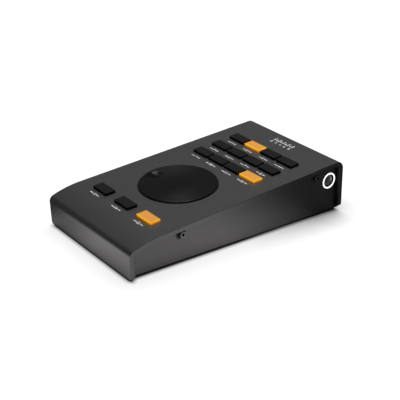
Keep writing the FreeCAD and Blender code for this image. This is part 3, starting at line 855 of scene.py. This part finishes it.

# %% [markdown]
# ## Jack ring and bush
#
# The headphone jack looks out through a white ring that glows with painted light of its own.
# Inside it a nickel bush narrows like a funnel to the bore, and a thin black collar lies round
# the bush's mouth. The CAD bush is a plain tube, and the funnel could be cut from it, but one
# helper makes all three from loops: a ring with a rounded outer edge and an inside of its own.
# The glossy paint would mirror the glowing ring as a bright streak, so rays of that kind don't
# see it.

# %% Rings round the jack
def on_jack(node):
    """Outer radius and length of a jack node, and the place of its outer face."""
    low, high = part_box(node)
    outer = (high[1] - low[1]) / 2
    face = (high[0], (low[1] + high[1]) / 2, (low[2] + high[2]) / 2)
    return outer, high[0] - low[0], facing((1.0, 0.0, 0.0), face)


def jack_piece(name, slot, place, foot, outer, top, edge, inside):
    """A ring from its foot to its top, with its inside as radii and heights, top first."""
    bore = inside[-1][0]
    loops = [round_loop(bore, foot), round_loop(outer, foot)]
    loops += rounded_edge(outer, top, edge)
    loops += [round_loop(radius, height) for radius, height in inside]
    return piece_from_loops(name, loops + loops[:1], slot, "case", place, closed_ends=False)


print("jack is", round(2 * on_jack("jack_bush")[0] / mm, 1), "mm across")

# %% Jack ring, bush and collar
ring_edge = 0.15 * mm
ring_bore = 5.6 * mm
ring_outer = 6.85 * mm
_, length, place = on_jack("jack_ring")
# The ring's finish glows with painted light.
jack_ring = jack_piece("jack_ring_painted_glow", slot_of["jack_ring"], place, -length, ring_outer,
                       0.0, ring_edge,
                       ((ring_bore + ring_edge, 0.0), (ring_bore, -ring_edge)))
jack_ring.visible_glossy = False
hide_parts("jack_ring")

bush_lip = 0.25 * mm
bush_mouth = 4.6 * mm
bush_bore = 3.25 * mm
funnel_depth = 2.6 * mm
outer, length, place = on_jack("jack_bush")
jack_bush = jack_piece("jack_funnel_bush", slot_of["jack_bush"], place, -length, outer,
                       0.0, bush_lip,
                       ((bush_mouth, 0.0), (bush_mouth - bush_lip, -bush_lip),
                        (bush_bore, -funnel_depth)))
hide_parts("jack_bush")

collar_bore = 4.4 * mm
collar_thickness = 0.35 * mm
jack_piece("jack_collar", "black_plastic", place, 0.0, outer, collar_thickness, bush_lip,
           ((collar_bore + bush_lip, collar_thickness),
            (collar_bore, collar_thickness - bush_lip)))
print("ring and bush", len(jack_ring.data.vertices) + len(jack_bush.data.vertices), "points")

# %% [markdown]
# ## Rear edge of the tray
#
# The tray's floor runs on under the cover's rear wall and ends flush with it, and a slit of
# light shows between the two. The CAD tray stops short of the wall. Stretching it would move
# its side walls as well, so this strip carries only the floor's section on: flat below, with
# the same bend at each side, drawn as loops along the object.

# %% Rear edge of the tray
tray_bend = 2.6 * mm
strip_height = 1.5 * mm
strip_overlap = 0.5 * mm
strip_short_of_wall = 0.2 * mm
bend_steps = 6


def tray_floor_loop(y):
    """The tray's floor in section: flat below, bent up at the sides, level on top."""
    low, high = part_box("bottom_tray")
    rise = math.degrees(math.asin((tray_bend - strip_height) / tray_bend))
    points = []
    for side in (1, -1):
        arc = []
        for step in range(bend_steps + 1):
            angle = math.radians(-90.0 + (90.0 - rise) * step / bend_steps)
            arc.append(Vector((side * (high[0] - tray_bend + tray_bend * math.cos(angle)), y,
                               low[2] + tray_bend + tray_bend * math.sin(angle))))
        points += arc if side > 0 else reversed(arc)
    return points


tray_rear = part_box("bottom_tray")[1][1]
cover_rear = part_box("top_cover")[1][1]
piece_from_loops("tray_rear_edge", [tray_floor_loop(tray_rear - strip_overlap),
                                    tray_floor_loop(cover_rear - strip_short_of_wall)],
                 "tray_paint", "case")
print("the strip adds", round((cover_rear - tray_rear) / mm, 1), "mm behind the tray")

# %% [markdown]
# ## Feet
#
# Four round rubber feet are glued under the tray. Their lower edge is rounded, and a shallow
# ring groove keeps the middle from sucking onto a smooth desk. A bevel and an inset on the CAD
# feet could give the same. The loops do both at once, and all four feet go into one mesh.

# %% Feet
foot_edge = 0.5 * mm
groove_outer = 4.0 * mm
groove_inner = 3.2 * mm
groove_depth = 0.3 * mm


def foot_loops(radius, height):
    """A foot from the tray down to its grooved face, with its height counted from the tray."""
    loops = [round_loop(radius, 0.0)] + rounded_edge(radius, height, foot_edge)
    return loops + [round_loop(groove_outer, height),
                    round_loop(groove_outer, height - groove_depth),
                    round_loop(groove_inner, height - groove_depth),
                    round_loop(groove_inner, height)]


def foot_places():
    """The middle of the upper face of each CAD foot, and its radius."""
    low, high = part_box("rubber_feet")
    points = [vertex.co for vertex in nodes["rubber_feet"].data.vertices]
    width = max(point.x for point in points if point.x < 0) - low[0]
    for x in (low[0] + width / 2, high[0] - width / 2):
        for y in (low[1] + width / 2, high[1] - width / 2):
            yield Vector((x, y, high[2])), width / 2


feet = bmesh.new()
for centre, radius in foot_places():
    add_loops(feet, laid(foot_loops(radius, centre.z), facing((0.0, 0.0, -1.0), centre)))
foot_set = add_piece("foot_set", feet, slot_of["rubber_feet"], "case")
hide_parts("rubber_feet")
print("feet", len(foot_set.data.vertices), "points")

# %% [markdown]
# ## Print on the deck
#
# Each key has a plain number in front of it, set between two short rules, and the rear of the
# deck has a plain scale of strokes. Print is often an image laid on the paint. Here the ink is
# a skin of its own, a fiftieth of a millimetre thick, so it stays sharp at any distance. Every
# point of it is dropped onto the cover, so it follows the curve at the front edge.

# %% Ink and its strokes
ink_white = (0.78, 0.78, 0.79)
speckle_size = 0.15 * mm
speckle_vary = 0.077
speckle_relief = 0.004 * mm
ink_thickness = 0.02 * mm
number_weight = 0.03


def printing_ink():
    """White ink with a fine speckle."""
    ink = Finish("printing_ink", ink_white, 0.55)
    speckle = ink.noise(speckle_size)
    ink.set("Base Color", speckle.vary(ink_white, speckle_vary))
    ink.relief(speckle, speckle_relief)


def add_number(form, text, height, x, y):
    """Add a number, centred on a point of the deck, and return its width."""
    curve = bpy.data.curves.new("number", "FONT")
    curve.body = text
    curve.extrude = ink_thickness
    curve.offset = number_weight
    shape = bpy.data.objects.new("number", curve)
    bpy.context.scene.collection.objects.link(shape)
    bpy.context.view_layer.update()
    mesh = bpy.data.meshes.new_from_object(shape)
    bpy.data.objects.remove(shape)
    low, high = corners([vertex.co for vertex in mesh.vertices])
    scale = height / (high.y - low.y)
    middle = (low + high) / 2
    for vertex in mesh.vertices:
        raised = ink_thickness if vertex.co.z > 0 else 0.0
        vertex.co = ((vertex.co.x - middle.x) * scale + x, (vertex.co.y - middle.y) * scale + y,
                     raised)
    form.from_mesh(mesh)
    bpy.data.meshes.remove(mesh)
    return (high.x - low.x) * scale


def add_stroke(form, width, depth, x, y):
    """Add a printed bar, centred on a point of the deck."""
    bar = bmesh.ops.create_cube(form, size=1.0)["verts"]
    for vertex in bar:
        vertex.co = (vertex.co.x * width + x, vertex.co.y * depth + y,
                     (vertex.co.z + 0.5) * ink_thickness)


printing_ink()
print("ink is", ink_thickness / mm, "mm thick")

# %% Laying print on the cover
ink_clear = 0.01 * mm
drop_from = 20 * mm


def lay_on_cover(form):
    """Drop every point along the deck's normal onto the cover's outside."""
    for vertex in form.verts:
        origin = deck @ Vector((vertex.co.x, vertex.co.y, drop_from))
        hit, point, _, _ = nodes["top_cover"].ray_cast(origin, -deck_up)
        surface = (to_deck @ point).z if hit else 0.0
        vertex.co.z += surface + ink_clear


def print_piece(name, form):
    """Lay a print on the cover and make it a piece that rides on the case."""
    lay_on_cover(form)
    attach(object_from(name, form, "printing_ink", deck), "case")


print("print clears the paint by", ink_clear / mm, "mm")

# %% Key numbers
number_height = 2.8 * mm
number_ahead = 9.1 * mm
rule_length = 3.6 * mm
rule_thickness = 0.8 * mm
rule_gap = 0.8 * mm
for number, (_, middle) in caps.items():
    label = bmesh.new()
    y = middle.y - number_ahead
    width = add_number(label, str(number), number_height, middle.x, y)
    reach = width / 2 + rule_gap + rule_length / 2
    for side in (-1, 1):
        add_stroke(label, rule_length, rule_thickness, middle.x + side * reach, y)
    print_piece("number_%02d" % number, label)
print("printed", len(caps), "numbers")

# %% Scale at the rear of the deck
scale_half = 10.5 * mm
scale_from_rear = 17.0 * mm
scale_steps = 8
tall_stroke = 4.4 * mm
short_stroke = 2.8 * mm
stroke_width = 1.0 * mm
scale_number_height = 2.8 * mm
scale_number_gap = 1.3 * mm
scale_foot = deck_box("top_cover")[1].y - scale_from_rear
scale = bmesh.new()
for step in range(scale_steps + 1):
    x = scale_half * (2.0 * step / scale_steps - 1.0)
    height = tall_stroke if step % 2 == 0 else short_stroke
    add_stroke(scale, stroke_width, height, x, scale_foot + height / 2)
    if step % 2 == 0:
        add_number(scale, str(step), scale_number_height, x,
                   scale_foot - scale_number_gap - scale_number_height / 2)
print_piece("deck_scale", scale)
print("the scale has", scale_steps + 1, "strokes")

# %% [markdown]
# ## Finishes on the CAD nodes
#
# The nodes that still show keep their CAD shape: the cover, the tray, the lead's socket and
# everything inside. The finishes could be given one by one, but the record already says which
# slot each node has, so one loop gives them all.

# %% Finishes on the CAD nodes
for node, slot in slot_of.items():
    mesh = nodes[node].data
    mesh.materials.clear()
    mesh.materials.append(finishes[slot])
print(len(slot_of), "nodes painted")

# %% [markdown]
# ## Shade on the floor
#
# The floor is a wide plain sheet that isn't part of the object. To the camera it is white, and
# darker only where the object shades it. The lamps could cast that shadow, but to make the
# paper white they would have to be far too bright for the object. So the floor glows by
# itself, and the Ambient Occlusion node, which measures how much of the sky each point still
# sees, takes the glow away: within a few millimetres for the dark line of the contact, and
# over a longer reach for the soft shade, which is deeper toward the rear.

# %% Shade on the floor
shade_samples = 16
contact_reach = 4 * mm
contact_stops = ((0.0, 1.0), (0.12, 0.88), (0.3, 0.66), (0.46, 0.42), (0.6, 0.05), (0.8, 0.0))
soft_reach = 32 * mm
soft_depth = 0.2
rear_range = (0.0, 0.08)
rear_depth = 1.15
rear_contact = 0.7
under_range = (0.6, 0.85)


def shade_on_floor(wire, shut_in, y):
    """What the object leaves of the floor's glow, from 1 in the open to 0 under it."""
    contact = wire.node("ShaderNodeValToRGB", {"stops": contact_stops},
                        {"Fac": wire.shut_in(contact_reach, shade_samples)})
    toward_rear = y.between(*rear_range)
    contact = wire.maths("MAXIMUM", contact, toward_rear * rear_contact)
    soft = 1.0 - shut_in * (toward_rear * rear_depth + soft_depth)
    return contact * soft * (1.0 - shut_in.between(*under_range))


print("contact shade within", round(contact_reach / mm, 1), "mm")

# %% [markdown]
# ## The floor in the gloss
#
# The paint is glossy enough to mirror the floor, and a white floor all round would make the
# walls pale. A dark table could be drawn in its place, but the camera sees the floor as well.
# The Light Path node tells the kinds of rays apart, so for the gloss the same sheet is a pool
# of light that fades away to the left, the right and the rear, as in a dark studio.

# %% Pool of light for the gloss
pool_left = (-0.08, -0.01)
pool_right = (0.0, 0.35)
pool_front = (-0.08, -0.01)
pool_rear = (0.0, 0.09)
front_share = 0.8
dark_share = 0.06


def pool_of_light(x, y):
    """How bright the floor is in the gloss, from 1 near the middle to almost dark."""
    across = x.between(*pool_left) * (1.0 - x.between(*pool_right))
    front = y.between(*pool_front) * (1.0 - front_share) + front_share
    along = front * (1.0 - y.between(*pool_rear))
    return across * along * (1.0 - dark_share) + dark_share


def light_path(wire):
    """Two wires: 1 for the rays of the camera, also through glass, and 1 for those of gloss."""
    path = wire.node("ShaderNodeLightPath").socket.node
    camera_ray, clear_ray, gloss_ray = [
        Wire(wire.tree, path.outputs["Is %s Ray" % kind])
        for kind in ("Camera", "Transmission", "Glossy")]
    return wire.maths("MAXIMUM", camera_ray, clear_ray), gloss_ray


print("the pool fades over", pool_right[1] - pool_right[0], "m to the right")

# %% [markdown]
# ## Floor
#
# The sheet itself is one large face. Its material could be one shader with a wire into each
# socket. It is a sum of plain shaders instead: paper and its glow for the camera, and paper
# and a warmer glow for all other rays. What changes over the floor only sets how much there
# is of each, by Mix Shader nodes, so every shader keeps plain numbers.

# %% Floor
white = 1.0
floor_half = 6.0
paper_white = 0.15
camera_glow = 0.95
bounce_white = 0.5
gloss_colour = (1.0, 0.965, 0.955)
gloss_glow = 1.25
gloss_stops = ((0.18, 1.0), (0.4, 0.75), (0.52, 0.35), (0.76, 0.01))


def glowing(wire, colour, strength):
    """A shader that gives light of its own."""
    return wire.node("ShaderNodeEmission", {}, {"Color": rgba(colour), "Strength": strength})


def paper(wire, grey):
    """A matt shader in one grey."""
    return wire.node("ShaderNodeBsdfDiffuse", {}, {"Color": rgba(grey)})


def studio_floor():
    """White and softly shaded to the camera, a pool of light to the gloss."""
    material = bpy.data.materials.new("studio_floor")
    material.use_nodes = True
    wire = Wire(material.node_tree)
    wire.tree.nodes.clear()
    x, y, _ = wire.axes()
    seen, gloss_ray = light_path(wire)
    shut_in = wire.shut_in(soft_reach, shade_samples)
    shade = shade_on_floor(wire, shut_in, y)
    shown = wire.node("ShaderNodeAddShader", {},
                      {0: paper(wire, paper_white),
                       1: shade.measure_out(glowing(wire, white, camera_glow))})
    pool = pool_of_light(x, y)
    gloss_shade = wire.node("ShaderNodeValToRGB", {"stops": gloss_stops}, {"Fac": shut_in})
    mirrored = pool * gloss_ray * gloss_shade
    unseen = wire.node("ShaderNodeAddShader", {},
                       {0: pool.measure_out(paper(wire, bounce_white)),
                        1: mirrored.measure_out(glowing(wire, gloss_colour, gloss_glow))})
    both = wire.node("ShaderNodeMixShader", {}, {0: seen, 1: unseen, 2: shown})
    wire.node("ShaderNodeOutputMaterial", {}, {"Surface": both})
    return material


floor_mesh = bpy.data.meshes.new("studio_floor")
floor_mesh.from_pydata([(-floor_half, -floor_half, 0.0), (floor_half, -floor_half, 0.0),
                        (floor_half, floor_half, 0.0), (-floor_half, floor_half, 0.0)],
                       [], [(0, 1, 2, 3)])
floor_mesh.materials.append(studio_floor())
floor = bpy.data.objects.new("studio_floor", floor_mesh)
bpy.context.scene.collection.objects.link(floor)
print("floor is", 2 * floor_half, "m wide")

# %% [markdown]
# ## Lamps
#
# One large soft lamp hangs above and a little behind the object, so the deck is evenly lit and
# the front and the right side fall away. Its own reflection would lie on the deck as a white
# disc, so glossy rays don't see it. A second, smaller lamp is for the gloss alone and puts the
# broad sheen on the dial and the deck. One lamp could do both jobs, but only apart can the
# light and the sheen be set each by itself.

# %% Lamps
lamp_distance = 1.5


def soft_lamp(name, toward, size, power):
    """A round area lamp in a direction from the object, facing it."""
    data = bpy.data.lights.new(name, "AREA")
    data.shape = "DISK"
    data.size = size
    data.energy = power
    lamp = bpy.data.objects.new(name, data)
    direction = Vector(toward).normalized()
    lamp.location = direction * lamp_distance
    lamp.rotation_mode = "QUATERNION"
    lamp.rotation_quaternion = direction.to_track_quat("Z", "Y")
    bpy.context.scene.collection.objects.link(lamp)
    return lamp


softbox = soft_lamp("overhead_softbox", (-0.34, 0.45, 1.0), size=1.3, power=25.5)
softbox.visible_glossy = False
sheen = soft_lamp("sheen_lamp", (-0.39, 0.22, 0.89), size=0.4, power=0.9)
sheen.visible_diffuse = False
print("lamps", softbox.data.energy, "and", round(sheen.data.energy, 2), "W")

# %% [markdown]
# ## World
#
# Behind the floor's far edge the camera sees the world, so it has to be as white as the floor.
# A white world would also light the object from all sides and wash its shapes out. So it is
# white to the camera alone and a low grey to all other rays, but for a band low over the
# horizon, which the gloss of the walls picks up as a soft edge. The picture is shown by the
# Standard view, because a film curve would turn the white paper grey.

# %% World
room_light = 0.05
band_range = (0.04, 0.14)
band_glow = 0.4
world = bpy.data.worlds.new("studio")
world.use_nodes = True
bpy.context.scene.world = world
wire = Wire(world.node_tree)
wire.tree.nodes.clear()
seen, gloss_ray = light_path(wire)
_, _, up_part = wire.axes(wire.place("Generated"))
low_band = 1.0 - up_part.between(*band_range)
lit = wire.maths("MAXIMUM", seen, gloss_ray * low_band * band_glow)
dim, bright = [wire.node("ShaderNodeBackground", {}, {"Color": rgba(grey)})
               for grey in (room_light, white)]
sky = wire.node("ShaderNodeMixShader", {}, {0: lit, 1: dim, 2: bright})
wire.node("ShaderNodeOutputWorld", {}, {"Surface": sky})
bpy.context.scene.view_settings.view_transform = "Standard"
print("the room gives", room_light, "of white")

# %% [markdown]
